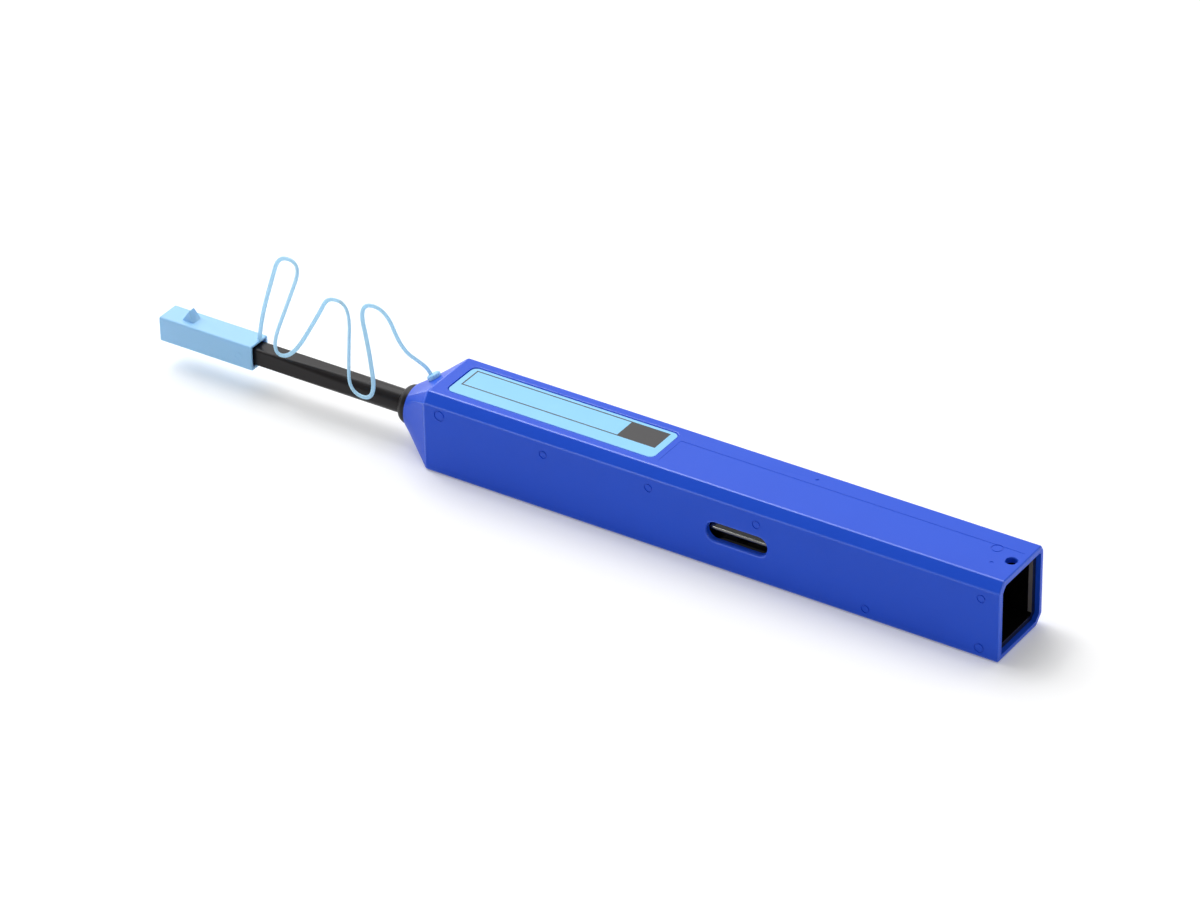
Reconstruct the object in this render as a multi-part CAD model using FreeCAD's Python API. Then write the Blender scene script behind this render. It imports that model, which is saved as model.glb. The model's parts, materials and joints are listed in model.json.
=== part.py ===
import FreeCAD, Part
import math
import os

# Push-type fibre connector cleaning pen. Frame: X along the pen with the cleaning tip at -X
# and the open rear end at +X, Y across it with the sight window on the -Y side, Z up from
# the underside. The origin is on the underside, half way along the pen. Millimetres.

V = FreeCAD.Vector

# ---- lengths along the pen, rear to front
SHELL_LENGTH = 137.5          # straight part of the outer shell
NOSE_LENGTH = 8.5             # faceted taper in front of it
NOZZLE_SHOWN = 40.3           # bare nozzle between the nose and the guide cap
CAP_LENGTH = 24.4
PUSH_TRAVEL = 12.0            # how far the frame slides back through the shell

# ---- outer shell
SHELL_WIDTH = 18.0
SHELL_HEIGHT = 18.6
SHELL_WALL = 1.35
TOP_NEAR_CHAMFER = (1.8, 2.2)     # legs along Y and Z
TOP_FAR_CHAMFER = (1.0, 1.4)
LOW_FAR_CHAMFER = (2.2, 2.1)
LOW_NEAR_CHAMFER = (0.4, 0.4)
RIM_BEVEL = 0.3
NOSE_SOLID = 6.0              # thickness of the nose block behind the taper
NOSE_RING_R = 4.8             # round front end of the nose
NOSE_RING_BEVEL = 0.28
AXIS_DROP = 0.9               # nozzle's axis below the shell's mid height
BORE_FIT = 0.1                # radial clearance of the nozzle barrel in the nose
LANYARD_R = 1.3
LANYARD_FROM_REAR = 2.5
LANYARD_Y = 0.1
WINDOW_LENGTH = 14.5
WINDOW_HEIGHT = 4.35
WINDOW_FROM_REAR = 61.0
WINDOW_DROP = 0.65            # its middle below the shell's mid height
WINDOW_BEVEL = 0.25

# ---- label in its recess
LABEL_LENGTH = 50.8
LABEL_WIDTH = 10.5
LABEL_CORNER_R = 1.4
LABEL_FROM_NOSE = 3.1
LABEL_MID_Y = 0.4             # middle of the flat of the top face
LABEL_THICK = 0.15
LABEL_RECESS = 0.3
LABEL_GAP = 0.25

# ---- inner frame and its cover
FRAME_GAP = 0.2               # clearance between frame and shell
FRAME_WALL = 1.2
FRAME_RECESS = 1.0            # frame's rear end inside the shell's mouth
FRONT_WALL = 2.0
COVER_GAP = 0.1
REAR_CUP_DEPTH = 13.0
PARTITION = 1.2
BULKHEAD = 1.4
RIB_LENGTH = 33.0             # raised rib of the cover behind the window
RIB_HALF_HEIGHT = 2.7
RIB_DROP = 1.5
RIB_CREST_R = 0.8
RIB_BACKING = 1.5
SIGHT_HOLE = (2.6, 1.1)

# ---- nozzle
NOSE_RING_WALL = 0.3
BARREL_PROUD = 2.4            # collar in front of the nose's ring
COLLAR_ROUND = 1.9            # length of its domed shoulder
COLLAR_STEPS = 4
SHAFT_R = 2.65
ROUND_LENGTH = 6.0            # round part of the shaft in front of the collar
SQUARE_SIDE = 4.1
SQUARE_BEFORE_CAP = 4.5       # square part that shows in front of the cap's mouth
FLANGE_R = 5.6
FLANGE_THICK = 2.0
NOZZLE_BORE_R = 1.5
BEARING_LENGTH = 4.0          # of the head shaft, behind the sleeve

# ---- guide cap and its strap
CAP_WIDTH = 6.2
CAP_HEIGHT = 6.0
CAP_WALL = 0.8
CAP_EDGE = 0.3
CAP_SLIP = 0.25               # clearance of the square shaft in the cap
PLUG_SIDE = 4.6               # square socket for a small-form-factor plug
PLUG_DEPTH = 9.4
CAP_PARTITION = 2.0
KEY_LENGTH = 3.1
KEY_WIDTH = 2.8
KEY_HEIGHT = 2.4
KEY_LEAN = 0.4                # of its two ends
KEY_FROM_FRONT = 5.0
STRAP_WIDTH = 0.9
STRAP_THICK = 0.5
STRAP_ROOT_INSET = 0.3
STRAP_ROOT_Y = 0.5
STRAP_OFF_BUTTON = 0.6        # its end, ahead of the button's middle
BUTTON_R = 1.5
BUTTON_THICK = 1.0
BUTTON_FROM_STRAIGHT = 3.7    # along X, from the end of the straight shell
BUTTON_Y = 0.8

# ---- cleaning head
HEAD_R = 1.2
HEAD_FIT = 0.06
DRUM_R = 3.0
DRUM_GAP = 0.3
CAM_TURN = 180.0              # degrees of head rotation in one full push
CAM_PIN_R = 0.7
CAM_PIN_INSET = 3.3           # pin's place from the drum's end at either end of the push
CAM_GROOVE_FLOOR = 2.2
CAM_PLAY = 0.1
RIB_THICK = 2.0
STUB_PROUD = 0.5
SLOT_WIDTH = 1.2
SLOT_FLOOR = 0.6
NECK_R = 0.5
SLEEVE_R = 1.3
SLEEVE_BORE_R = 0.9
SLEEVE_SHOWN = 4.0
SLEEVE_SEAT = 2.5
HEAD_PROUD = 1.2
PAD_LENGTH = 0.8
TAPE_WIDTH = 1.0
TAPE_THICK = 0.1

# ---- reels and drive
REEL_CLEAR = 0.35             # between the reels' flanges and the frame's floor and roof
REEL_HUB_R = 2.2
REEL_GAP = 1.4                # between the flanges
FLANGE = 0.8
PACK_INSET = 0.5              # full supply pack inside its flanges
TAKE_UP_PACK_R = 3.6
SUPPLY_FROM_REAR = 61.0
TAKE_UP_FROM_REAR = 45.4
AXLE_R = 1.0
AXLE_FIT = 0.05
BOSS_R = 2.0
BOSS_GAP = 0.2
TAPE_POST_R = 0.8
TAPE_TOP_GAP = 0.55      # tape below the frame's roof
MODULE = 0.8
PINION_TEETH = 10
PRESSURE_ANGLE = 25.0
ADDENDUM = 0.55
DEDENDUM = 0.7
BACKLASH = 0.12               # taken off each tooth's thickness
PINION_WIDTH = 2.8
PINION_GAP = 0.2
RATCHET_TEETH = 12
RATCHET_INSET = 0.9           # ratchet's tips inside the reel's flange
RATCHET_DEPTH = 0.8
RATCHET_WIDTH = 1.0
PAWL_GAP = 0.12
PAWL_THICK = 0.4
RACK_OVERRUN = 4.4
SLOT_GAP = 0.3                # around the rack, the spring stop and the cam pin

# ---- return spring
SPRING_R = 3.5
SPRING_WIRE = 0.65
SPRING_TURNS = 5
SPRING_STEPS = 16             # straight runs in a turn
SPRING_LENGTH = 18.0
SPIGOT_R = 2.6
SPIGOT_LENGTH = 2.0
STOP_THICK = 2.0
STOP_HALF_WIDTH = 4.2
STOP_RISE = 4.2               # above the spring's axis

# ---- places worked out from the sizes above
OVERALL = SHELL_LENGTH + NOSE_LENGTH + NOZZLE_SHOWN + CAP_LENGTH
REAR_X = OVERALL / 2
AXIS_Z = SHELL_HEIGHT / 2 - AXIS_DROP
BARREL_R = NOSE_RING_R - NOSE_RING_WALL - BORE_FIT
WINDOW_Z = SHELL_HEIGHT / 2 - WINDOW_DROP
STRAIGHT_X = REAR_X - SHELL_LENGTH
NOSE_X = STRAIGHT_X - NOSE_LENGTH
CAP_REAR_X = NOSE_X - NOZZLE_SHOWN
CAP_FRONT_X = CAP_REAR_X - CAP_LENGTH
CAVITY_X = STRAIGHT_X + NOSE_SOLID
FRAME_INSET = SHELL_WALL + FRAME_GAP
FRAME_INNER = FRAME_INSET + FRAME_WALL
REEL_Z = SHELL_HEIGHT / 2
REEL_FLANGE_R = REEL_Z - FRAME_INNER - REEL_CLEAR
SUPPLY_PACK_R = REEL_FLANGE_R - PACK_INSET
RATCHET_R = REEL_FLANGE_R - RATCHET_INSET
FRAME_FRONT_X = CAVITY_X + FRAME_GAP
FRAME_REAR_X = REAR_X - FRAME_RECESS
FLANGE_X = FRAME_FRONT_X + FRONT_WALL
NOZZLE_REAR_X = FLANGE_X + FLANGE_THICK
DRUM_FRONT_X = NOZZLE_REAR_X + DRUM_GAP
DRUM_REAR_X = DRUM_FRONT_X + PUSH_TRAVEL + 2 * CAM_PIN_INSET
CAM_PIN_X = DRUM_REAR_X - CAM_PIN_INSET
RIB_X = DRUM_REAR_X + DRUM_GAP
STUB_X = RIB_X + RIB_THICK + STUB_PROUD
SUPPLY_X = REAR_X - SUPPLY_FROM_REAR
TAKE_UP_X = REAR_X - TAKE_UP_FROM_REAR
WINDOW_X = REAR_X - WINDOW_FROM_REAR
FLOOR_Z = SHELL_WALL
ROOF_Z = SHELL_HEIGHT - SHELL_WALL
FRAME_FLOOR_Z = FRAME_INNER
FRAME_ROOF_Z = SHELL_HEIGHT - FRAME_INNER
NEAR_Y = -SHELL_WIDTH / 2
FAR_Y = SHELL_WIDTH / 2
FRAME_NEAR_Y = NEAR_Y + FRAME_INSET
FRAME_FAR_Y = FAR_Y - FRAME_INNER
COVER_INNER_Y = FRAME_NEAR_Y + FRAME_WALL
PARTITION_X = FRAME_REAR_X - REAR_CUP_DEPTH - PARTITION
STOP_X = PARTITION_X - 2.0 - STOP_THICK
BULKHEAD_X = STOP_X - SPRING_LENGTH - BULKHEAD
PITCH_R = MODULE * PINION_TEETH / 2
PITCH = math.pi * MODULE
PITCH_Z = REEL_Z - PITCH_R
REEL_HALF = REEL_GAP / 2 + FLANGE
RATCHET_Y = REEL_HALF
PINION_Y = RATCHET_Y + RATCHET_WIDTH + PINION_GAP
CAP_PARTITION_X = CAP_FRONT_X + PLUG_DEPTH
CAP_CAVITY_X = CAP_PARTITION_X + CAP_PARTITION
SQUARE_END_X = CAP_CAVITY_X + CAP_SLIP + 1.0
SLEEVE_END_X = SQUARE_END_X - SLEEVE_SHOWN
NECK_X = SQUARE_END_X + SLEEVE_SEAT
PAD_X = SLEEVE_END_X - HEAD_PROUD
TAPE_TOP_Z = FRAME_ROOF_Z - TAPE_TOP_GAP
TAPE_POST_X = STUB_X + 8.0
REAR_POST_X = (SUPPLY_X + TAKE_UP_X) / 2


def box(x0, x1, y0, y1, z0, z1):
    return Part.makeBox(x1 - x0, y1 - y0, z1 - z0, V(x0, y0, z0))


def rod_x(radius, x0, x1, y=0.0, z=AXIS_Z):
    return Part.makeCylinder(radius, x1 - x0, V(x0, y, z), V(1, 0, 0))


def rod_y(radius, y0, y1, x, z):
    return Part.makeCylinder(radius, y1 - y0, V(x, y0, z), V(0, 1, 0))


def rod_z(radius, z0, z1, x, y=0.0):
    return Part.makeCylinder(radius, z1 - z0, V(x, y, z0), V(0, 0, 1))


def prism(points, direction):
    face = Part.Face(Part.makePolygon(points + points[:1]))
    return face.extrude(direction)


def rounded_rectangle(centre, along, across, length, width, radius):
    """Closed wire of a rectangle with round corners, in the plane of the two unit vectors."""
    a = length / 2
    b = width / 2
    k = radius * (1 - math.sqrt(0.5))

    def at(u, v):
        return centre + along * u + across * v

    edges = []
    corners = [(1, 1), (-1, 1), (-1, -1), (1, -1)]
    for i, (su, sv) in enumerate(corners):
        first = at(su * a, sv * (b - radius))
        last = at(su * (a - radius), sv * b)
        if su != sv:
            first, last = last, first
        middle = at(su * (a - k), sv * (b - k))
        edges.append((first, middle, last))
    wire = []
    for i, (first, middle, last) in enumerate(edges):
        wire.append(Part.Arc(first, middle, last).toShape())
        following = edges[(i + 1) % 4][0]
        if (following - last).Length > 1e-6:
            wire.append(Part.LineSegment(last, following).toShape())
    return Part.Wire(wire)


def inset_chamfer(legs, inset):
    """Legs of a corner chamfer after its outline is set inwards, or None where it runs out."""
    a, b = legs
    k = 1 + inset * (math.hypot(a, b) - a - b) / (a * b)
    return (a * k, b * k) if k > 0.1 else None


def section_corners(inset):
    """Corners (y, z) of the shell's outline, set inwards, counter-clockwise seen from +X."""
    y0 = NEAR_Y + inset
    y1 = FAR_Y - inset
    z0 = inset
    z1 = SHELL_HEIGHT - inset
    corners = []
    for y, z, legs in ((y0, z0, LOW_NEAR_CHAMFER), (y1, z0, LOW_FAR_CHAMFER),
                       (y1, z1, TOP_FAR_CHAMFER), (y0, z1, TOP_NEAR_CHAMFER)):
        cut = inset_chamfer(legs, inset)
        if cut is None:
            corners.append((y, z))
            continue
        sy = 1 if y == y0 else -1
        sz = 1 if z == z0 else -1
        on_side = (y, z + sz * cut[1])
        on_flat = (y + sy * cut[0], z)
        corners += [on_side, on_flat] if sy * sz > 0 else [on_flat, on_side]
    return corners


def section_prism(inset, x0, x1):
    return prism([V(x0, y, z) for y, z in section_corners(inset)], V(x1 - x0, 0, 0))


def stadium(length, height, x, z, y0, y1):
    wire = rounded_rectangle(V(x, y0, z), V(1, 0, 0), V(0, 0, 1), length, height, height / 2 - 1e-4)
    return Part.Face(wire).extrude(V(0, y1 - y0, 0))


# ---------------------------------------------------------------- pieces carried by the shell

def nose_loft():
    """Flat facets of the shell drawn onto a round ring: one ruled face for each side."""
    corners = section_corners(0)
    back = [V(STRAIGHT_X, y, z) for y, z in corners]
    angles = [math.atan2(z - AXIS_Z, y) for y, z in corners]

    def on_ring(angle):
        return V(NOSE_X, NOSE_RING_R * math.cos(angle), AXIS_Z + NOSE_RING_R * math.sin(angle))

    arcs = []
    for first, last in zip(angles, angles[1:] + angles[:1]):
        turn = (last - first) % (2 * math.pi)
        arcs.append(Part.Arc(on_ring(first), on_ring(first + turn / 2), on_ring(first + turn)).toShape())
    outline = Part.makePolygon(back + back[:1])
    return Part.makeLoft([outline, Part.Wire(arcs)], True, True)


def window_tool():
    opening = stadium(WINDOW_LENGTH, WINDOW_HEIGHT, WINDOW_X, WINDOW_Z, NEAR_Y - 1, NEAR_Y + SHELL_WALL + 0.1)
    wide = rounded_rectangle(V(WINDOW_X, NEAR_Y, WINDOW_Z), V(1, 0, 0), V(0, 0, 1),
                             WINDOW_LENGTH + 2 * WINDOW_BEVEL, WINDOW_HEIGHT + 2 * WINDOW_BEVEL,
                             WINDOW_HEIGHT / 2 + WINDOW_BEVEL - 1e-4)
    tight = rounded_rectangle(V(WINDOW_X, NEAR_Y + WINDOW_BEVEL, WINDOW_Z), V(1, 0, 0), V(0, 0, 1),
                              WINDOW_LENGTH, WINDOW_HEIGHT, WINDOW_HEIGHT / 2 - 1e-4)
    return opening.fuse(Part.makeLoft([wide, tight], True, True))


def label_pocket(grow, depth):
    middle = V(label_mid_x(), LABEL_MID_Y, SHELL_HEIGHT - LABEL_RECESS)
    wire = rounded_rectangle(middle, V(1, 0, 0), V(0, 1, 0),
                             LABEL_LENGTH + 2 * grow, LABEL_WIDTH + 2 * grow, LABEL_CORNER_R + grow)
    return Part.Face(wire).extrude(V(0, 0, depth))


def label_mid_x():
    return STRAIGHT_X + LABEL_FROM_NOSE + LABEL_LENGTH / 2


def outer_shell():
    body = section_prism(0, STRAIGHT_X, REAR_X - RIM_BEVEL)
    rim = Part.makeLoft([Part.makePolygon([V(x, y, z) for y, z in loop + loop[:1]])
                         for x, loop in ((REAR_X - RIM_BEVEL, section_corners(0)),
                                         (REAR_X, section_corners(RIM_BEVEL)))], True, True)
    body = body.fuse([rim, nose_loft()])
    ring_bevel = Part.makeCone(NOSE_RING_R - NOSE_RING_BEVEL, NOSE_RING_R + 3.0, 3.0 + NOSE_RING_BEVEL,
                               V(NOSE_X, 0, AXIS_Z), V(1, 0, 0))
    keep = box(NOSE_X + NOSE_RING_BEVEL, REAR_X + 1, NEAR_Y - 1, FAR_Y + 1, -1, SHELL_HEIGHT + 1)
    body = body.common(keep.fuse(ring_bevel))
    body = body.cut([section_prism(SHELL_WALL, CAVITY_X, REAR_X + 1),
                     rod_x(BARREL_R + BORE_FIT, NOSE_X - 1, CAVITY_X + 1)])
    hole = rod_z(LANYARD_R, ROOF_Z - 1, SHELL_HEIGHT + 1, REAR_X - LANYARD_FROM_REAR, LANYARD_Y)
    body = body.cut([window_tool(), hole, label_pocket(LABEL_GAP, LABEL_RECESS + 1)])
    return body.removeSplitter()


def label():
    return label_pocket(0, LABEL_THICK)


def involute_flank(pitch_r, half_angle):
    """Points (radius, angle) of one flank, from the root up, about the tooth's middle line."""
    base = pitch_r * math.cos(math.radians(PRESSURE_ANGLE))
    alpha = math.radians(PRESSURE_ANGLE)
    at_pitch = math.tan(alpha) - alpha
    root = pitch_r - DEDENDUM
    tip = pitch_r + ADDENDUM
    points = []
    if root < base:
        points.append((root, half_angle + at_pitch))
    low = max(base, root)
    for i in range(5):
        r = low + (tip - low) * i / 4
        roll = math.acos(min(1.0, base / r))
        points.append((r, half_angle + at_pitch - (math.tan(roll) - roll)))
    return points


def pinion_outline():
    """Corners of the pinion's profile about its own centre; one tooth points straight down."""
    half = (PITCH / 2 - BACKLASH) / 2 / PITCH_R
    flank = involute_flank(PITCH_R, half)
    corners = []
    for tooth in range(PINION_TEETH):
        middle = -math.pi / 2 + 2 * math.pi * tooth / PINION_TEETH
        for r, a in flank:
            corners.append((r * math.cos(middle - a), r * math.sin(middle - a)))
        for r, a in reversed(flank):
            corners.append((r * math.cos(middle + a), r * math.sin(middle + a)))
    return corners


def drive_rack():
    """Toothed strip on the shell's floor, with a gap under the pinion's centre at rest."""
    x0 = TAKE_UP_X - RACK_OVERRUN
    x1 = TAKE_UP_X + PUSH_TRAVEL + RACK_OVERRUN
    top = PITCH_Z + ADDENDUM
    root = PITCH_Z - DEDENDUM
    slope = math.tan(math.radians(PRESSURE_ANGLE))
    half = (PITCH / 2 - BACKLASH) / 2
    corners = [V(x0, PINION_Y, FLOOR_Z), V(x0, PINION_Y, root)]
    first = math.ceil((x0 - TAKE_UP_X) / PITCH - 0.5)
    last = math.floor((x1 - TAKE_UP_X) / PITCH - 0.5)
    for n in range(first, last + 1):
        middle = TAKE_UP_X + (n + 0.5) * PITCH
        low = half + DEDENDUM * slope
        high = half - ADDENDUM * slope
        if middle - low > x0 and middle + low < x1:
            corners += [V(middle - low, PINION_Y, root), V(middle - high, PINION_Y, top),
                        V(middle + high, PINION_Y, top), V(middle + low, PINION_Y, root)]
    corners += [V(x1, PINION_Y, root), V(x1, PINION_Y, FLOOR_Z)]
    return prism(corners, V(0, PINION_WIDTH, 0))


def spring_stop():
    plate = box(STOP_X, STOP_X + STOP_THICK, -STOP_HALF_WIDTH, STOP_HALF_WIDTH, FLOOR_Z, REEL_Z + STOP_RISE)
    return plate.fuse(rod_x(SPIGOT_R, STOP_X - SPIGOT_LENGTH, STOP_X, z=REEL_Z))


def cam_pin():
    return rod_z(CAM_PIN_R, AXIS_Z + CAM_GROOVE_FLOOR + CAM_PLAY, ROOF_Z, CAM_PIN_X)


def spring_section(turned):
    """Square wire section of the spring, that many turns along its helix."""
    angle = 2 * math.pi * turned
    x = STOP_X - SPRING_WIRE / 2 - (SPRING_LENGTH - SPRING_WIRE) * (1 - turned / SPRING_TURNS)
    half = SPRING_WIRE / 2
    corners = []
    for u, v in ((1, 1), (-1, 1), (-1, -1), (1, -1), (1, 1)):
        r = SPRING_R + v * half
        corners.append(V(x + u * half, r * math.sin(angle), REEL_Z + r * math.cos(angle)))
    return Part.makePolygon(corners)


def return_spring():
    steps = SPRING_TURNS * SPRING_STEPS
    return Part.makeLoft([spring_section(i / SPRING_STEPS) for i in range(steps + 1)], True, True)


def nose_facet():
    """Start, run direction and outward normal of the nose's top facet along its middle."""
    rise = SHELL_HEIGHT - AXIS_Z - NOSE_RING_R
    down = V(-NOSE_LENGTH, 0, -rise).normalize()
    normal = V(-rise, 0, NOSE_LENGTH).normalize()
    return down, normal


def button_seat():
    down, normal = nose_facet()
    seat = V(STRAIGHT_X, BUTTON_Y, SHELL_HEIGHT) + down * (BUTTON_FROM_STRAIGHT / -down.x)
    return seat, normal


def strap_anchor():
    seat, normal = button_seat()
    disc = Part.makeCylinder(BUTTON_R, BUTTON_THICK, seat + normal * 0.02, normal)
    return disc.makeChamfer(BUTTON_THICK * 0.25, [disc.Edges[0]])


def strap_route():
    """Hand-placed corner points of the moulded strap, from the cap's top to the button."""
    seat, normal = button_seat()
    down, _ = nose_facet()
    root = V(CAP_REAR_X - STRAP_ROOT_INSET, STRAP_ROOT_Y, AXIS_Z + CAP_HEIGHT / 2)
    end = seat + down * STRAP_OFF_BUTTON + normal * (BUTTON_THICK + 0.06)
    return [root, root + V(0.6, 0, 5.0), V(-76.8, 0.1, 28.0), V(-74.2, -0.4, 35.0), V(-67.9, -1.2, 34.8),
            V(-70.9, -1.9, 26.0), V(-76.2, -2.6, 11.9), V(-70.4, -2.9, 11.7), V(-62.9, -2.2, 25.2),
            V(-60.7, -2.0, 29.8), V(-54.6, -2.6, 29.6), V(-54.4, -4.2, 18.0), V(-53.4, -5.9, 10.6),
            V(-46.4, -6.0, 10.6), V(-49.0, -4.2, 21.6), V(-52.4, -2.6, 31.1), V(-46.1, -1.8, 31.2),
            V(-43.2, -0.6, 21.6), V(-38.8, 0.4, 19.0), end + normal * 1.2, end]


def rounded_path(points, share=0.45):
    """Straight runs joined by tangent arcs; each arc takes a share of its shorter run."""
    edges = []
    radii = []
    start = points[0]
    for before, corner, after in zip(points, points[1:], points[2:]):
        into = (corner - before)
        out = (after - corner)
        leg = share * min(into.Length, out.Length)
        half_turn = into.getAngle(out) / 2
        into.normalize()
        out.normalize()
        first = corner - into * leg
        last = corner + out * leg
        radius = leg / math.tan(half_turn)
        towards = (out - into).normalize()
        middle = corner + towards * (radius / math.cos(half_turn) - radius)
        edges.append(Part.LineSegment(start, first).toShape())
        edges.append(Part.Arc(first, middle, last).toShape())
        radii.append(radius)
        start = last
    edges.append(Part.LineSegment(start, points[-1]).toShape())
    return Part.Wire(edges), radii


def cap_strap():
    path, radii = rounded_path(strap_route())
    root = path.Vertexes[0].Point
    section = Part.makePolygon([root + V(x * STRAP_THICK / 2, y * STRAP_WIDTH / 2, 0)
                                for x, y in ((1, 1), (-1, 1), (-1, -1), (1, -1), (1, 1))])
    sweep = Part.BRepOffsetAPI.MakePipeShell(path)
    sweep.setBiNormalMode(V(0, 1, 0))
    sweep.add(section)
    sweep.build()
    sweep.makeSolid()
    strap = sweep.shape()
    print("strap: length %.1f mm, volume %.2f of %.2f mm3, tightest bend %.1f mm"
          % (path.Length, strap.Volume, path.Length * STRAP_WIDTH * STRAP_THICK, min(radii)))
    return strap


# ---------------------------------------------------------------- pieces of the sliding carriage

def rack_slot():
    reach = PUSH_TRAVEL + RACK_OVERRUN + SLOT_GAP
    return box(TAKE_UP_X - reach, TAKE_UP_X + reach,
               PINION_Y - SLOT_GAP, PINION_Y + PINION_WIDTH + SLOT_GAP, 0, PITCH_Z + ADDENDUM + SLOT_GAP)


def stop_slot():
    return box(STOP_X - PUSH_TRAVEL - SLOT_GAP, STOP_X + STOP_THICK + SLOT_GAP,
               -STOP_HALF_WIDTH - SLOT_GAP, STOP_HALF_WIDTH + SLOT_GAP, 0, FRAME_FLOOR_Z + 0.1)


def cam_slot():
    half = CAM_PIN_R + SLOT_GAP
    ends = [rod_z(half, FRAME_ROOF_Z - 0.1, SHELL_HEIGHT, x) for x in (CAM_PIN_X - PUSH_TRAVEL, CAM_PIN_X)]
    middle = box(CAM_PIN_X - PUSH_TRAVEL, CAM_PIN_X, -half, half, FRAME_ROOF_Z - 0.1, SHELL_HEIGHT)
    return middle.fuse(ends)


def cross_wall(x, thick):
    return section_prism(FRAME_INNER - 0.01, x, x + thick).cut(
        box(x - 1, x + thick + 1, NEAR_Y, COVER_INNER_Y + COVER_GAP, 0, SHELL_HEIGHT))


def inner_frame():
    frame = section_prism(FRAME_INSET, FRAME_FRONT_X, FRAME_REAR_X)
    frame = frame.cut(section_prism(FRAME_INNER, FLANGE_X, FRAME_REAR_X + 1))
    walls = [cross_wall(x, t)
             for x, t in ((RIB_X, RIB_THICK), (BULKHEAD_X, BULKHEAD), (PARTITION_X, PARTITION))]
    spigot = rod_x(SPIGOT_R, BULKHEAD_X + BULKHEAD, BULKHEAD_X + BULKHEAD + SPIGOT_LENGTH, z=REEL_Z)
    seats = [rod_y(BOSS_R, y, FRAME_FAR_Y + 0.1, x, REEL_Z)
             for x, y in ((SUPPLY_X, REEL_HALF + BOSS_GAP), (TAKE_UP_X, PINION_Y + PINION_WIDTH + BOSS_GAP))]
    posts = [rod_y(TAPE_POST_R, COVER_INNER_Y + 0.3, FRAME_FAR_Y + 0.1, x, z)
             for x, z in tape_posts().values()]
    frame = frame.fuse(walls + [spigot] + seats + posts)
    cover_opening = box(FLANGE_X, FRAME_REAR_X + 1, NEAR_Y, COVER_INNER_Y, FRAME_FLOOR_Z, FRAME_ROOF_Z)
    axle_holes = [rod_y(AXLE_R + AXLE_FIT, 0, FAR_Y, x, REEL_Z) for x in (SUPPLY_X, TAKE_UP_X)]
    return frame.cut([cover_opening, rack_slot(), stop_slot(), cam_slot(),
                      rod_x(BARREL_R + AXLE_FIT, FRAME_FRONT_X - 1, FLANGE_X + 1),
                      rod_x(HEAD_R + HEAD_FIT, RIB_X - 1, RIB_X + RIB_THICK + 1)] + axle_holes)


def rib_profile(x):
    """Outline of the cover's rib: two sloping flanks that meet in a rounded crest."""
    z = AXIS_Z
    crest = FRAME_NEAR_Y
    slope = math.atan2(RIB_DROP, RIB_HALF_HEIGHT)
    rise = RIB_CREST_R * math.sin(slope)
    sink = RIB_CREST_R * (1 - math.cos(slope))
    foot = crest + RIB_DROP
    back = COVER_INNER_Y + RIB_BACKING
    crest_arc = Part.Arc(V(x, crest + sink, z + rise), V(x, crest, z), V(x, crest + sink, z - rise)).toShape()
    lines = [V(x, crest + sink, z - rise), V(x, foot, z - RIB_HALF_HEIGHT), V(x, back, z - RIB_HALF_HEIGHT),
             V(x, back, z + RIB_HALF_HEIGHT), V(x, foot, z + RIB_HALF_HEIGHT), V(x, crest + sink, z + rise)]
    return Part.Wire([crest_arc] + [Part.LineSegment(a, b).toShape() for a, b in zip(lines, lines[1:])])


def frame_cover():
    z0 = FRAME_FLOOR_Z + COVER_GAP
    z1 = FRAME_ROOF_Z - COVER_GAP
    cover = box(FLANGE_X + COVER_GAP, FRAME_REAR_X, FRAME_NEAR_Y, COVER_INNER_Y, z0, z1)
    rib_x0 = WINDOW_X - RIB_LENGTH + WINDOW_LENGTH / 2 + 2
    pad = RIB_HALF_HEIGHT + 0.8
    window_zone = box(rib_x0, rib_x0 + RIB_LENGTH, FRAME_NEAR_Y - 1, COVER_INNER_Y + 1,
                      AXIS_Z - RIB_HALF_HEIGHT, AXIS_Z + RIB_HALF_HEIGHT)
    backing = box(rib_x0 - 0.8, rib_x0 + RIB_LENGTH + 0.8, COVER_INNER_Y - 0.01, COVER_INNER_Y + RIB_BACKING,
                  AXIS_Z - pad, AXIS_Z + pad)
    rib = Part.Face(rib_profile(rib_x0)).extrude(V(RIB_LENGTH, 0, 0))
    bosses = [rod_y(BOSS_R, COVER_INNER_Y - 0.1, -REEL_HALF - BOSS_GAP, x, REEL_Z)
              for x in (SUPPLY_X, TAKE_UP_X)]
    cover = cover.cut(window_zone).fuse([backing, rib] + bosses)
    blind = [rod_y(AXLE_R + AXLE_FIT, COVER_INNER_Y + 0.3, 0, x, REEL_Z) for x in (SUPPLY_X, TAKE_UP_X)]
    sight = stadium(SIGHT_HOLE[0], SIGHT_HOLE[1], SUPPLY_X + 0.5, AXIS_Z - 1.1,
                    FRAME_NEAR_Y - 1, COVER_INNER_Y + 3)
    return cover.cut(blind + [sight]).removeSplitter()


def nozzle_profile():
    """Half outline of the turned form: flange, barrel, domed collar and shaft."""
    front = NOSE_X - BARREL_PROUD

    def at(x, r):
        return V(x, 0, AXIS_Z + r)

    dome = []
    for i in range(COLLAR_STEPS + 1):
        turn = math.pi / 2 * i / COLLAR_STEPS
        dome.append(at(front + COLLAR_ROUND * (1 - math.cos(turn)),
                       SHAFT_R + (BARREL_R - SHAFT_R) * math.sin(turn)))
    corners = dome + [at(FLANGE_X, BARREL_R), at(FLANGE_X, FLANGE_R), at(NOZZLE_REAR_X, FLANGE_R),
                      at(NOZZLE_REAR_X, 0), at(SQUARE_END_X, 0), at(SQUARE_END_X, SHAFT_R)]
    return Part.Face(Part.makePolygon(corners + corners[:1]))


def square_loop(x, side):
    half = side / 2
    return Part.makePolygon([V(x, y * half, AXIS_Z + z * half)
                             for y, z in ((1, 1), (-1, 1), (-1, -1), (1, -1), (1, 1))])


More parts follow.
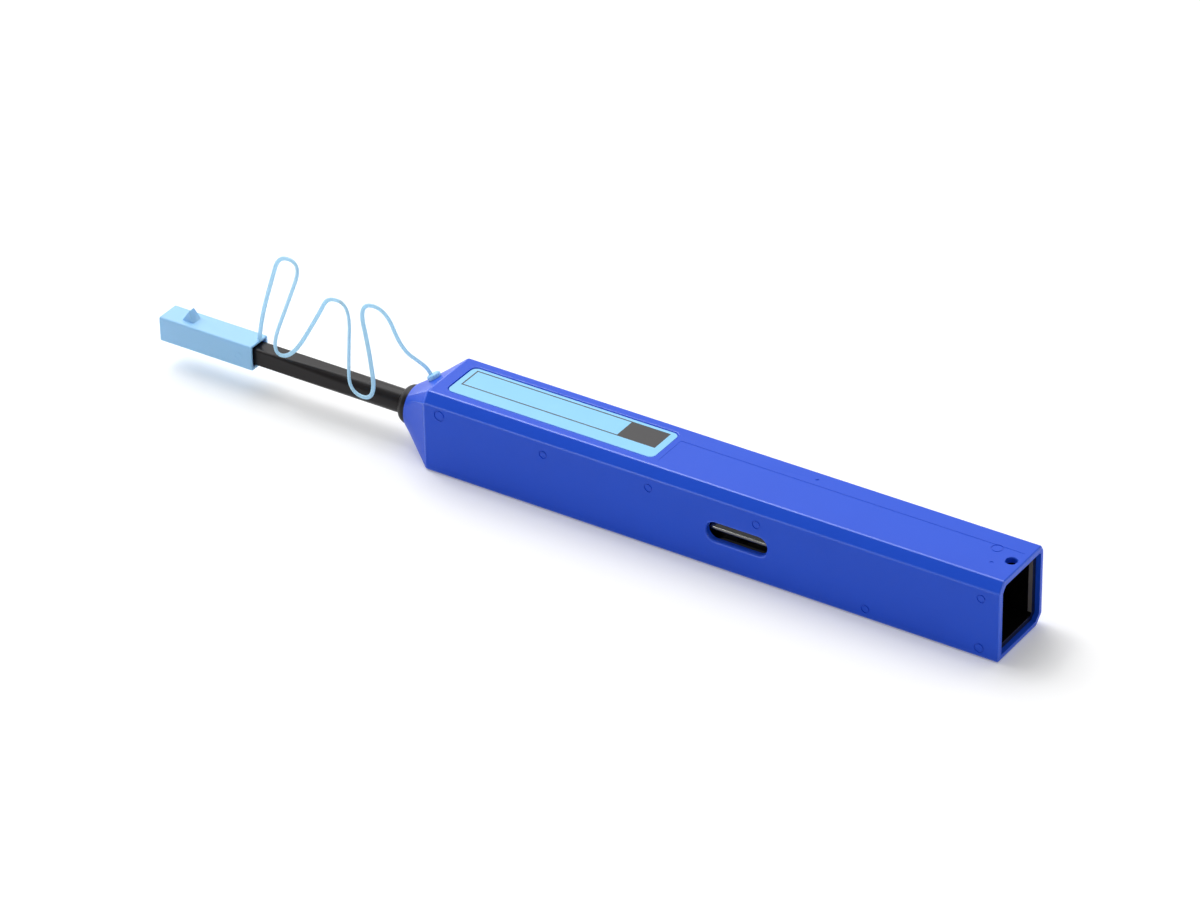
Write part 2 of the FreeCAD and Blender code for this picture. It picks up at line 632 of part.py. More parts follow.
def shaft_flats():
    """What the four flats leave of the round shaft: square at the front, drawn out to round."""
    round_end = NOSE_X - BARREL_PROUD - ROUND_LENGTH
    square_x = CAP_REAR_X + SQUARE_BEFORE_CAP
    drawn = Part.makeLoft([square_loop(SQUARE_END_X, SQUARE_SIDE), square_loop(square_x, SQUARE_SIDE),
                           square_loop(round_end, 2 * SHAFT_R)], True, True)
    return drawn.fuse(rod_x(FLANGE_R + 1, round_end, NOZZLE_REAR_X))


def nozzle_tube():
    turned = nozzle_profile().revolve(V(0, 0, AXIS_Z), V(1, 0, 0), 360)
    nozzle = turned.common(shaft_flats())
    bearing = NECK_X + BEARING_LENGTH
    return nozzle.cut([rod_x(NOZZLE_BORE_R, bearing, NOZZLE_REAR_X + 1),
                       rod_x(HEAD_R + HEAD_FIT, NECK_X, bearing + 0.1),
                       rod_x(SLEEVE_R, SQUARE_END_X - 1, NECK_X + 0.1)]).removeSplitter()


def tip_sleeve():
    sleeve = rod_x(SLEEVE_R, SLEEVE_END_X, NECK_X).cut(rod_x(SLEEVE_BORE_R, SLEEVE_END_X - 1, NECK_X + 1))
    outer = [e for e in sleeve.Edges if abs(e.CenterOfMass.x - SLEEVE_END_X) < 1e-3 and e.Length > 7]
    return sleeve.makeChamfer(0.15, outer)


def axle(x):
    return rod_y(AXLE_R, COVER_INNER_Y + 0.4, FAR_Y - FRAME_INSET, x, REEL_Z)


def tape_posts():
    """Name to (x, z) of the frame's three posts that the tape runs round."""
    return {"front": (TAPE_POST_X, TAPE_TOP_Z - TAPE_POST_R),
            "rear": (REAR_POST_X, TAPE_TOP_Z - TAPE_POST_R),
            "fresh": (TAPE_POST_X, REEL_Z - SUPPLY_PACK_R + TAPE_POST_R + TAPE_THICK)}


def tangent_point(point, centre, radius, side):
    """Where the line from point touches the circle; side +1 leaves the circle on its left."""
    d = V(centre[0] - point[0], centre[1] - point[1], 0)
    reach = math.atan2(d.y, d.x) - side * math.asin(radius / d.Length)
    length = math.sqrt(d.Length ** 2 - radius ** 2)
    return (point[0] + length * math.cos(reach), point[1] + length * math.sin(reach))


def strip(points):
    """Flat tape along straight runs (x, z), laid on the left of its direction of travel."""
    wire = Part.makePolygon([V(x, -TAPE_WIDTH / 2, z) for x, z in points])
    left = []
    for i, (x, z) in enumerate(points):
        before = points[max(i - 1, 0)]
        after = points[min(i + 1, len(points) - 1)]
        along = V(after[0] - before[0], 0, after[1] - before[1]).normalize()
        left.append(V(x - along.z * TAPE_THICK, -TAPE_WIDTH / 2, z + along.x * TAPE_THICK))
    corners = [v.Point for v in wire.Vertexes] + left[::-1]
    return prism(corners, V(0, TAPE_WIDTH, 0))


def fresh_tape_run():
    """From the bottom of the supply pack, under its post, up to the head shaft."""
    post_x, post_z = tape_posts()["fresh"]
    low = REEL_Z - SUPPLY_PACK_R - 0.02
    end = (STUB_X + 0.3, AXIS_Z - SLOT_FLOOR - 0.02)
    reach = TAPE_POST_R + 0.06
    lift = tangent_point(end, (post_x, post_z), reach, 1)
    return strip([end, lift, (post_x, post_z - reach), (SUPPLY_X, low)][::-1])


def used_tape_run():
    """From the head shaft, over two posts, down onto the take-up pack."""
    front_x, post_z = tape_posts()["front"]
    reach = TAPE_POST_R + 0.06
    start = (STUB_X + 0.3, AXIS_Z + SLOT_FLOOR + 0.02)
    rise = tangent_point(start, (front_x, post_z), reach, -1)
    drop_from = (REAR_POST_X, post_z + reach)
    land = tangent_point(drop_from, (TAKE_UP_X, REEL_Z), TAKE_UP_PACK_R + 0.05, -1)
    return strip([start, rise, (front_x, post_z + reach), drop_from, land])


def ratchet_pawl():
    """Leaf on the frame's roof that clicks over the take-up reel's ratchet teeth."""
    y0 = RATCHET_Y + 0.1
    tip_z = REEL_Z + RATCHET_R + PAWL_GAP
    root_x = TAKE_UP_X - 7.0
    roof = FRAME_ROOF_Z
    corners = [V(root_x, y0, roof), V(root_x, y0, roof - PAWL_THICK),
               V(TAKE_UP_X - 2.0, y0, roof - PAWL_THICK - 0.15), V(TAKE_UP_X - 0.4, y0, tip_z),
               V(TAKE_UP_X, y0, tip_z + 0.1), V(TAKE_UP_X - 1.8, y0, roof - 0.15), V(root_x + 2.0, y0, roof)]
    return prism(corners, V(0, RATCHET_WIDTH - 0.2, 0))


# ---------------------------------------------------------------- turning pieces

def drive_pinion():
    corners = [V(TAKE_UP_X + x, PINION_Y, REEL_Z + z) for x, z in pinion_outline()]
    gear = prism(corners, V(0, PINION_WIDTH, 0))
    return gear.cut(rod_y(AXLE_R + AXLE_FIT, 0, FAR_Y, TAKE_UP_X, REEL_Z))


def reel_blank(x):
    hub = rod_y(REEL_HUB_R, -REEL_HALF, REEL_HALF, x, REEL_Z)
    flanges = [rod_y(REEL_FLANGE_R, y, y + FLANGE, x, REEL_Z) for y in (-REEL_HALF, REEL_GAP / 2)]
    return hub.fuse(flanges)


def take_up_reel():
    wheel = []
    for i in range(RATCHET_TEETH):
        for part, r in ((0.0, RATCHET_R), (0.12, RATCHET_R), (1.0, RATCHET_R - RATCHET_DEPTH)):
            a = 2 * math.pi * (i + part) / RATCHET_TEETH
            wheel.append(V(TAKE_UP_X + r * math.cos(a), RATCHET_Y - 0.01, REEL_Z + r * math.sin(a)))
    ratchet = prism(wheel, V(0, RATCHET_WIDTH, 0))
    reel = reel_blank(TAKE_UP_X).fuse(ratchet)
    return reel.cut(rod_y(AXLE_R + AXLE_FIT, -FAR_Y, FAR_Y, TAKE_UP_X, REEL_Z))


def supply_reel():
    return reel_blank(SUPPLY_X).cut(rod_y(AXLE_R + AXLE_FIT, -FAR_Y, FAR_Y, SUPPLY_X, REEL_Z))


def tape_pack(x, radius):
    half = REEL_GAP / 2
    return rod_y(radius, -half, half, x, REEL_Z).cut(rod_y(REEL_HUB_R, -half - 1, half + 1, x, REEL_Z))


def cam_groove():
    """Helical channel for the cam pin: half a turn over the full push, with run-out."""
    lead = PUSH_TRAVEL * 360.0 / CAM_TURN
    grip_r = CAM_GROOVE_FLOOR + CAM_PLAY
    helix_angle = math.atan(2 * math.pi * grip_r / lead)
    axial = 2 * (CAM_PIN_R + CAM_PLAY) / math.sin(helix_angle)
    run_out = lead * math.asin((CAM_PIN_R + CAM_PLAY) / grip_r) / (2 * math.pi)
    length = PUSH_TRAVEL + 2 * run_out
    helix = Part.makeHelix(lead, length, DRUM_R)
    outer = DRUM_R + 0.6
    profile = Part.makePolygon([V(r, 0, z) for r, z in ((CAM_GROOVE_FLOOR, -axial / 2), (outer, -axial / 2),
                                                        (outer, axial / 2), (CAM_GROOVE_FLOOR, axial / 2),
                                                        (CAM_GROOVE_FLOOR, -axial / 2))])
    groove = Part.Wire(helix.Edges).makePipeShell([profile], True, True)
    groove.rotate(V(0, 0, 0), V(0, 1, 0), 90)
    start = CAM_PIN_X - PUSH_TRAVEL - run_out
    turn_back = 360.0 * (PUSH_TRAVEL + run_out) / lead
    groove.rotate(V(0, 0, 0), V(1, 0, 0), 180.0 - turn_back)
    groove.translate(V(start, 0, AXIS_Z))
    return groove


def tape_slots(x0, x1, floor, reach):
    half = SLOT_WIDTH / 2
    return [box(x0, x1, -half, half, AXIS_Z + floor, AXIS_Z + reach),
            box(x0, x1, -half, half, AXIS_Z - reach, AXIS_Z - floor)]


def head_shaft():
    shaft = rod_x(HEAD_R, NECK_X + 0.2, STUB_X).fuse([rod_x(DRUM_R, DRUM_FRONT_X, DRUM_REAR_X),
                                                      rod_x(NECK_R, PAD_X, NECK_X + 0.3)])
    return shaft.cut([cam_groove()] + tape_slots(NECK_X, STUB_X + 1, SLOT_FLOOR, DRUM_R + 1))


def cleaning_head():
    pad = rod_x(NECK_R, PAD_X - PAD_LENGTH, PAD_X)
    front = [e for e in pad.Edges if abs(e.CenterOfMass.x - PAD_X + PAD_LENGTH) < 1e-3]
    return pad.makeChamfer(0.15, front)


def tape_at_head():
    """One tape from the shaft's rear end, round the cleaning head and back."""
    far = SLOT_FLOOR + 0.02
    near = NECK_R + 0.02
    taper = NECK_X - 0.3
    front = PAD_X - PAD_LENGTH - 0.02
    inner = [(STUB_X, far), (taper, far), (taper - 1.5, near), (front + 0.15, near), (front, near - 0.15)]
    t = TAPE_THICK
    outer = [(STUB_X, far + t), (taper, far + t), (taper - 1.5, near + t), (front, near + t),
             (front - t, near - 0.1)]
    loop = inner + [(x, -z) for x, z in inner[::-1]] + [(x, -z) for x, z in outer] + outer[::-1]
    return prism([V(x, -TAPE_WIDTH / 2, AXIS_Z + z) for x, z in loop], V(0, TAPE_WIDTH, 0))


# ---------------------------------------------------------------- guide cap

def guide_cap():
    half_w = CAP_WIDTH / 2
    half_h = CAP_HEIGHT / 2
    block = box(CAP_FRONT_X, CAP_REAR_X, -half_w, half_w, AXIS_Z - half_h, AXIS_Z + half_h)
    block = block.makeChamfer(CAP_EDGE, [e for e in block.Edges if abs(e.tangentAt(0).x) > 0.9])
    socket = box(CAP_FRONT_X - 1, CAP_PARTITION_X, -PLUG_SIDE / 2, PLUG_SIDE / 2,
                 AXIS_Z - PLUG_SIDE / 2, AXIS_Z + PLUG_SIDE / 2)
    hollow = SQUARE_SIDE / 2 + CAP_SLIP
    rear = box(CAP_CAVITY_X, CAP_REAR_X + 1, -hollow, hollow, AXIS_Z - hollow, AXIS_Z + hollow)
    mouth = Part.makeLoft([square_loop(CAP_REAR_X - CAP_EDGE, 2 * hollow),
                           square_loop(CAP_REAR_X, 2 * (hollow + CAP_EDGE))], True, True)
    bore = rod_x(SLEEVE_R + 0.2, CAP_FRONT_X, CAP_REAR_X)
    top = AXIS_Z + half_h
    key_x = CAP_FRONT_X + KEY_FROM_FRONT
    ends = []
    for side in (-1, 1):
        foot = side * KEY_WIDTH / 2
        ends.append(Part.makePolygon([V(key_x, foot, top), V(key_x + KEY_LENGTH, foot, top),
                                      V(key_x + KEY_LENGTH / 2, foot - side * KEY_LEAN, top + KEY_HEIGHT),
                                      V(key_x, foot, top)]))
    key = Part.makeLoft(ends, True, True)
    return block.fuse(key).cut([socket, rear, mouth, bore]).removeSplitter()


def nodes():
    return {
        "outer_shell": outer_shell(),
        "label": label(),
        "drive_rack": drive_rack(),
        "spring_stop": spring_stop(),
        "cam_pin": cam_pin(),
        "return_spring": return_spring(),
        "strap_anchor": strap_anchor(),
        "cap_strap": cap_strap(),
        "inner_frame": inner_frame(),
        "frame_cover": frame_cover(),
        "nozzle_tube": nozzle_tube(),
        "tip_sleeve": tip_sleeve(),
        "supply_axle": axle(SUPPLY_X),
        "take_up_axle": axle(TAKE_UP_X),
        "fresh_tape_run": fresh_tape_run(),
        "used_tape_run": used_tape_run(),
        "ratchet_pawl": ratchet_pawl(),
        "drive_pinion": drive_pinion(),
        "take_up_reel": take_up_reel(),
        "used_tape_pack": tape_pack(TAKE_UP_X, TAKE_UP_PACK_R),
        "supply_reel": supply_reel(),
        "fresh_tape_pack": tape_pack(SUPPLY_X, SUPPLY_PACK_R),
        "head_shaft": head_shaft(),
        "cleaning_head": cleaning_head(),
        "tape_at_head": tape_at_head(),
        "guide_cap": guide_cap(),
    }


os.makedirs("parts", exist_ok=True)
for name, shape in nodes().items():
    print("%-16s %s solids %d volume %.2f" % (name, shape.isValid(), len(shape.Solids), shape.Volume))
    shape.exportStep("parts/%s.step" % name)
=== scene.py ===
import json
import math

import bmesh
import bpy
from mathutils import Matrix, Vector


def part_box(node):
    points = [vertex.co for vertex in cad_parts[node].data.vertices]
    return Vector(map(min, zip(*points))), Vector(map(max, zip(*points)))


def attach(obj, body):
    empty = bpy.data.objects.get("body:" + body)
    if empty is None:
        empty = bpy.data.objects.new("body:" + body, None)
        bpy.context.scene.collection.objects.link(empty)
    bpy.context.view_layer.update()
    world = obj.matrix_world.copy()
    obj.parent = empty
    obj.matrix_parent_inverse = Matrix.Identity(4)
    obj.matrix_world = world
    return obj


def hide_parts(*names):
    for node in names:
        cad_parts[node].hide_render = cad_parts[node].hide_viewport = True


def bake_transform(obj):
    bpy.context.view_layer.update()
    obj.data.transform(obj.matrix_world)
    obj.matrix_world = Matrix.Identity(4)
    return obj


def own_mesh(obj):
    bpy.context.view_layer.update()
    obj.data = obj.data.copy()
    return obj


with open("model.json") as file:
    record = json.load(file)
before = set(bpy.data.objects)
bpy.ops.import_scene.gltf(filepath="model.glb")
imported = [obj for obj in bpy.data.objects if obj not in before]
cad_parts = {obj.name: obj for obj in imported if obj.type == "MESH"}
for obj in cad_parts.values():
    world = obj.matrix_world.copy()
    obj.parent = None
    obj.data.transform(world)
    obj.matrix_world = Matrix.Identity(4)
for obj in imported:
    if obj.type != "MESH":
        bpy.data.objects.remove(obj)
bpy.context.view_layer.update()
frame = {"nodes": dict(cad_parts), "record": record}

MM = 0.001

# ---------------------------------------------------------------- places read from the frame

SHELL_LOW, SHELL_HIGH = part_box("outer_shell")
LABEL_LOW, LABEL_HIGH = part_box("label")
CAP_LOW, CAP_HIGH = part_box("guide_cap")
_, FRAME_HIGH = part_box("inner_frame")
SPRING_LOW, SPRING_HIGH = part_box("return_spring")
REAR_X = SHELL_HIGH.x / MM
NEAR_Y = SHELL_LOW.y / MM
TOP_Z = SHELL_HIGH.z / MM

# ---------------------------------------------------------------- sizes of the looks (mm)

MERGE_GAP = 0.002           # corners closer than this are one corner
FLAT_DEGREES = 0.6          # faces that meet at less than this are one face
LEAST_DEGREES = 14.0        # edges that turn less than this aren't rounded
SHARP_DEGREES = 32          # shading breaks at edges that turn more than this
SOFT_DEGREES = 50           # the same for pieces that are round all over
ROUND_SIDES = 32
ROUND_STEPS = 3
LENGTHWISE = 0.5            # an edge whose direction has more of X than this runs along the pen
UPRIGHT = 0.9               # and one with more of Z than this runs up it
ALONG_Y = (math.pi / 2, 0, 0)

# rounding, and the edges that it leaves out
EDGE_ROUND = 0.26           # the shell's outer edges
CAP_ROUND = 0.22
SHAFT_ROUND = 0.2           # the nozzle's long edges
MOUTH_ROUND = 0.9           # the lead-in of the frame's hollow rear end
NOSE_RING_LENGTH = 0.8      # round front of the shell's nose
NOSE_REAR_X = -31.0         # behind it, an edge across the shell lies on a flat face
SHAFT_REAR_X = -48.0        # behind it, the nozzle turns into its round collar
AT_END = 0.02               # how close to an end face an edge on it is
SOCKET_HALF_WIDTH = 2.75    # the space in which the cap's inner edges lie
SOCKET_HEIGHTS = (5.9, 10.9)
UNDER_KEY = (4.0, 9.0)      # from the cap's front, the part of that space below the key
KEY_HEIGHT = 2.4

# moulding marks: rings that ejector pins leave, a dot, a gate pip and a shallow step
MARK_BAR = 2.0              # length of the tool that cuts a mark
CORE_BAR = 3.0
PIN_DEPTH = 0.13
SIDE_RING_WIDTH = 0.28
SIDE_PINS = (               # x, z and radius on the shell's near side
    (-28.2, 14.5, 1.3), (-2.4, 13.5, 1.0), (23.3, 14.0, 1.0), (49.1, 13.8, 1.0),
    (74.8, 2.4, 1.0), (101.2, 14.1, 1.0), (101.0, 2.3, 1.15))
TOP_PIN = (98.2, 2.5)
TOP_PIN_RADIUS = 1.3
TOP_RING_WIDTH = 0.24
DOT = (99.76, -2.58)
DOT_RADIUS = 0.45
DOT_DEPTH = 0.14
PIP = (54.5, 5.7)
PIP_RADIUS = 0.4
PIP_BAR = 1.0
PIP_HEIGHT = 0.12
STEP_MIDDLE = (63.6, -0.8)
STEP_SIZE = (80.6, 8.8, 2.0)
STEP_DEPTH = 0.05
CAP_PIN_FROM_FRONT = 20.9
CAP_PIN_RADIUS = 0.95
CAP_RING_WIDTH = 0.25
CAP_PIN_DEPTH = 0.06

THREAD_GAP = 0.15           # between the threads of the tape

# the label's printed rule, from the label's own edges, and the block at its rear end
RULE_FROM_FRONT = 1.45
RULE_FROM_REAR = 1.85
RULE_FROM_NEAR = 3.65
RULE_FROM_FAR = 0.95
RULE_HALF_WIDTH = 0.17
BLOCK_HALF_LENGTH = 4.6

# the coil spring
SPRING_WIRE = 0.65
SPRING_TURNS = 5
WIRE_SIDES = 12

# the strap: its section, and its corner points as in the part's source, in metres
STRAP_WIDTH = 0.9
STRAP_THICK = 0.5
STRAP_ROUND = 0.12
STRAP_FINENESS = 10
STRAP_SPLIT_X = -57.0
STRAP_ROUTE = [
    (-0.0812, 0.0005, 0.0114), (-0.0806, 0.0005, 0.0164), (-0.0768, 0.0001, 0.0280),
    (-0.0742, -0.0004, 0.0350), (-0.0679, -0.0012, 0.0348), (-0.0709, -0.0019, 0.0260),
    (-0.0762, -0.0026, 0.0119), (-0.0704, -0.0029, 0.0117), (-0.0629, -0.0022, 0.0252),
    (-0.0607, -0.0020, 0.0298), (-0.0546, -0.0026, 0.0296), (-0.0544, -0.0042, 0.0180),
    (-0.0534, -0.0059, 0.0106), (-0.0464, -0.0060, 0.0106), (-0.0490, -0.0042, 0.0216),
    (-0.0524, -0.0026, 0.0311), (-0.0461, -0.0018, 0.0312), (-0.0432, -0.0006, 0.0216),
    (-0.0388, 0.0004, 0.0190), (-0.03757, 0.0008, 0.01783), (-0.03692, 0.0008, 0.01682)]

# ---------------------------------------------------------------- camera, light and floor (m)

CAMERA_PLACE = (555.9, -833.9, 640.3)       # millimetres
CAMERA_RIGHT = (0.8395, 0.5431, -0.0143)
CAMERA_UP = (-0.2788, 0.4534, 0.8466)
CAMERA_LENS = 171.5
CAMERA_SENSOR = 36.0
CAMERA_REACH = 20.0

LAMP_AIM = (0, 0, 0.01)
LAMPS = (                   # name, place, width and height, watts
    ("key_over_cap_side", (-1.13, 0.48, 1.58), (1.8, 1.8), 27.0),
    ("edge_glint", (-0.93, 0.24, 1.73), (0.3, 0.3), 3.0),
    ("window_streak", (-0.93, -1.75, 0.24), (0.2, 0.1), 1.0),
    ("low_fill_at_rear", (1.9, 0.2, 0.45), (1.2, 0.5), 4.0))

ROOM_BRIGHT_WAY = (-0.70, 0.71, 0.0)
ROOM_DIM_AT, ROOM_BRIGHT_AT = -0.3, 0.8     # along that way, where the change starts and ends
ROOM_DIM, ROOM_BRIGHT = 0.35, 1.1

FLOOR_SIZE = 6.0
FLOOR_Z = -0.00005
FLOOR_GLOW = 0.16


def set_camera():
    """Long lens from the pen's rear near side, looking down on it."""
    camera = bpy.data.cameras.new("camera")
    camera.lens = CAMERA_LENS
    camera.sensor_width = CAMERA_SENSOR
    camera.clip_end = CAMERA_REACH
    eye = bpy.data.objects.new("camera", camera)
    bpy.context.scene.collection.objects.link(eye)
    right = Vector(CAMERA_RIGHT)
    up = Vector(CAMERA_UP)
    back = right.cross(up)
    turn = Matrix((right, up, back)).transposed().to_4x4()
    eye.matrix_world = Matrix.Translation(Vector(CAMERA_PLACE) * MM) @ turn
    bpy.context.scene.camera = eye


def soft_box(name, place, size, power):
    """Rectangular lamp that faces the pen."""
    lamp = bpy.data.lights.new(name, "AREA")
    lamp.shape = "RECTANGLE"
    lamp.size, lamp.size_y = size
    lamp.energy = power
    box = bpy.data.objects.new(name, lamp)
    bpy.context.scene.collection.objects.link(box)
    box.location = place
    box.rotation_euler = (Vector(LAMP_AIM) - Vector(place)).to_track_quat("-Z", "Y").to_euler()


def light_room():
    """Room that is bright beyond the cap and dimmer near the viewer, so flat faces shade apart."""
    world = bpy.data.worlds.new("studio_room")
    bpy.context.scene.world = world
    world.use_nodes = True
    tree = world.node_tree
    tree.nodes.clear()
    way = add(tree, "ShaderNodeTexCoord").outputs["Generated"]
    behind = add(tree, "ShaderNodeVectorMath", {0: way, 1: ROOM_BRIGHT_WAY},
                 operation="DOT_PRODUCT")
    level = add(tree, "ShaderNodeMapRange",
                {"Value": behind.outputs["Value"],
                 "From Min": ROOM_DIM_AT, "From Max": ROOM_BRIGHT_AT,
                 "To Min": ROOM_DIM, "To Max": ROOM_BRIGHT}, interpolation_type="SMOOTHSTEP")
    air = add(tree, "ShaderNodeBackground",
              {"Color": srgb("#FFFFFF"), "Strength": level.outputs["Result"]})
    add(tree, "ShaderNodeOutputWorld", {"Surface": air.outputs[0]})


# ---------------------------------------------------------------- shader nodes

def srgb(code):
    """Linear colour of an sRGB hex value."""
    parts = [int(code[i:i + 2], 16) / 255 for i in (1, 3, 5)]
    return [p / 12.92 if p <= 0.04045 else ((p + 0.055) / 1.055) ** 2.4 for p in parts] + [1.0]


def add(tree, kind, inputs=None, **settings):
    """Adds one node with its settings; an input is a value or another node's output socket."""
    node = tree.nodes.new(kind)
    for name, value in settings.items():
        setattr(node, name, value)
    for name, value in (inputs or {}).items():
        if isinstance(value, bpy.types.NodeSocket):
            tree.links.new(value, node.inputs[name])
        else:
            node.inputs[name].default_value = value
    return node


def new_material(name):
    """Empty material with its node tree, and the object coordinates that its pattern lies in."""
    material = bpy.data.materials.new(name)
    material.use_nodes = True
    tree = material.node_tree
    tree.nodes.clear()
    place = add(tree, "ShaderNodeTexCoord").outputs["Object"]
    return material, tree, place


def noise(tree, place, size, detail=2.0):
    """Noise with patches of about size millimetres."""
    return add(tree, "ShaderNodeTexNoise",
               {"Vector": place, "Scale": 1 / (size * MM), "Detail": detail}).outputs["Fac"]


def mixed(tree, factor, first, second):
    """Colour between first and second, each a value or a socket."""
    return add(tree, "ShaderNodeMix", {"Factor": factor, 6: first, 7: second},
               data_type="RGBA").outputs[2]


def bump(tree, height, strength, relief, over=None):
    """Normal of a skin with its relief in millimetres, laid over another skin if there is one."""
    inputs = {"Height": height, "Strength": strength, "Distance": relief * MM}
    if over is not None:
        inputs["Normal"] = over
    return add(tree, "ShaderNodeBump", inputs).outputs["Normal"]


def maths(tree, operation, *values):
    """Output of one sum on the values."""
    return add(tree, "ShaderNodeMath", dict(enumerate(values)), operation=operation).outputs[0]


def principled(tree, colour, roughness, normal, **more):
    inputs = {"Base Color": colour, "Roughness": roughness, "Normal": normal, **more}
    return add(tree, "ShaderNodeBsdfPrincipled", inputs).outputs[0]


def show(tree, surface):
    add(tree, "ShaderNodeOutputMaterial", {"Surface": surface})


# ---------------------------------------------------------------- materials

def moulded(name, colour, deep, roughness, grain, relief, through=0.0, **shader):
    """Moulded plastic: slow shade variation from the flow, fine grain from the tool's texture.

    grain and relief are the texture's size and depth in millimetres, and through is the share of
    light that a thin wall lets pass from its far side.
    """
    material, tree, place = new_material(name)
    flow = noise(tree, place, size=18.0, detail=3.0)
    tint = mixed(tree, flow, srgb(deep), srgb(colour))
    wear = add(tree, "ShaderNodeMapRange",
               {"Value": flow, "To Min": roughness * 0.9, "To Max": roughness * 1.12})
    skin = bump(tree, noise(tree, place, grain), strength=0.35, relief=relief)
    sink = bump(tree, flow, strength=0.25, relief=0.05, over=skin)
    surface = principled(tree, tint, wear.outputs["Result"], sink, **shader)
    if through:
        passing = add(tree, "ShaderNodeBsdfTranslucent", {"Color": tint}).outputs[0]
        surface = add(tree, "ShaderNodeMixShader",
                      {"Fac": through, 1: surface, 2: passing}).outputs[0]
    show(tree, surface)
    return material


def rectangle_distance(tree, flat, middle, half):
    """Distance outwards from a rectangle's edge, negative inside it, in metres."""
    shifted = add(tree, "ShaderNodeVectorMath", {0: flat, 1: (middle[0] * MM, middle[1] * MM, 0)},
                  operation="SUBTRACT")
    folded = add(tree, "ShaderNodeVectorMath", {0: shifted.outputs[0]}, operation="ABSOLUTE")
    beyond = add(tree, "ShaderNodeVectorMath",
                 {0: folded.outputs[0], 1: (half[0] * MM, half[1] * MM, 0)}, operation="SUBTRACT")
    apart = add(tree, "ShaderNodeSeparateXYZ", {"Vector": beyond.outputs[0]})
    return maths(tree, "MAXIMUM", apart.outputs["X"], apart.outputs["Y"])


def printed_film(name):
    """Printed polyester film: smooth and glossy, a ruled frame and one bare dark block on it."""
    material, tree, place = new_material(name)
    left = LABEL_LOW.x / MM + RULE_FROM_FRONT
    right = LABEL_HIGH.x / MM - RULE_FROM_REAR
    low = LABEL_LOW.y / MM + RULE_FROM_NEAR
    high = LABEL_HIGH.y / MM - RULE_FROM_FAR
    middle_y = (low + high) / 2
    half_y = (high - low) / 2
    frame_gap = rectangle_distance(tree, place, ((left + right) / 2, middle_y),
                                   ((right - left) / 2, half_y))
    rule = maths(tree, "COMPARE", frame_gap, 0.0, RULE_HALF_WIDTH * MM)
    block_gap = rectangle_distance(tree, place, (right - BLOCK_HALF_LENGTH, middle_y),
                                   (BLOCK_HALF_LENGTH, half_y))
    block = maths(tree, "LESS_THAN", block_gap, 0.0)
    ink = maths(tree, "MAXIMUM", rule, block)
    wash = noise(tree, place, size=9.0)
    ground = mixed(tree, wash, srgb("#80C8F4"), srgb("#8AD0FA"))
    print_ = mixed(tree, ink, ground, srgb("#1F1C1E"))
    peel = noise(tree, place, size=1.2, detail=1.0)
    skin = bump(tree, peel, strength=0.15, relief=0.01)
    show(tree, principled(tree, print_, 0.3, skin, IOR=1.5))
    return material


def drawn_steel(name):
    """Drawn stainless steel: fine lengthwise die lines that stretch the highlight."""
    material, tree, place = new_material(name)
    drawn = add(tree, "ShaderNodeMapping", {"Vector": place, "Scale": (1.0, 0.08, 1.0)}).outputs[0]
    lines = noise(tree, drawn, size=0.12, detail=3.0)
    tint = mixed(tree, lines, srgb("#A9ABAF"), srgb("#D2D3D6"))
    skin = bump(tree, lines, strength=0.3, relief=0.01)
    show(tree, principled(tree, tint, 0.28, skin, Metallic=1.0))
    return material


def microfibre(name):
    """Woven microfibre tape: threads 0.15 mm apart, soft and without gloss."""
    material, tree, place = new_material(name)
    threads = [add(tree, "ShaderNodeTexWave",
                   {"Vector": place, "Scale": 1 / (2 * THREAD_GAP * MM), "Distortion": 0.4},
                   bands_direction=way).outputs["Fac"] for way in ("X", "Y")]
    weave = maths(tree, "MULTIPLY", *threads)
    tint = mixed(tree, weave, srgb("#C9C9C6"), srgb("#F0F0EE"))
    skin = bump(tree, weave, strength=0.5, relief=0.03)
    show(tree, principled(tree, tint, 0.85, skin, **{"Sheen Weight": 0.2}))
    return material


def studio_floor(name):
    """White paper sweep: eye and mirrors see it white, and the pen's soft shadow stays on it."""
    material, tree, place = new_material(name)
    skin = bump(tree, noise(tree, place, size=0.8), strength=0.05, relief=0.02)
    paper = add(tree, "ShaderNodeBsdfDiffuse",
                {"Color": srgb("#F2F2F2"), "Normal": skin}).outputs[0]
    glow = add(tree, "ShaderNodeEmission",
               {"Color": srgb("#FFFFFF"), "Strength": FLOOR_GLOW}).outputs[0]
    both = add(tree, "ShaderNodeAddShader", {0: paper, 1: glow}).outputs[0]
    path = add(tree, "ShaderNodeLightPath").outputs
    mirrored = maths(tree, "MAXIMUM", path["Is Glossy Ray"], path["Is Transmission Ray"])
    seen = maths(tree, "MAXIMUM", path["Is Camera Ray"], mirrored)
    show(tree, add(tree, "ShaderNodeMixShader", {"Fac": seen, 1: paper, 2: both}).outputs[0])
    return material


def dress(obj, material):
    obj.data.materials.clear()
    obj.data.materials.append(material)


# ---------------------------------------------------------------- modelling

def only(obj):
    bpy.ops.object.select_all(action="DESELECT")
    obj.select_set(True)
    bpy.context.view_layer.objects.active = obj


def edit(obj, mode="VERT", pick="SELECT"):
    """Opens the object's mesh for editing, with all of it or none of it picked."""
    only(obj)
    bpy.ops.object.mode_set(mode="EDIT")
    bpy.ops.mesh.select_mode(type=mode)
    bpy.ops.mesh.select_all(action=pick)
    return bmesh.from_edit_mesh(obj.data)


def leave_edit():
    bpy.ops.object.mode_set(mode="OBJECT")


def merge_corners():
    bpy.ops.mesh.remove_doubles(threshold=MERGE_GAP * MM)


def name_piece(obj, name):
    obj.name = name
    obj.data.name = name
    return obj


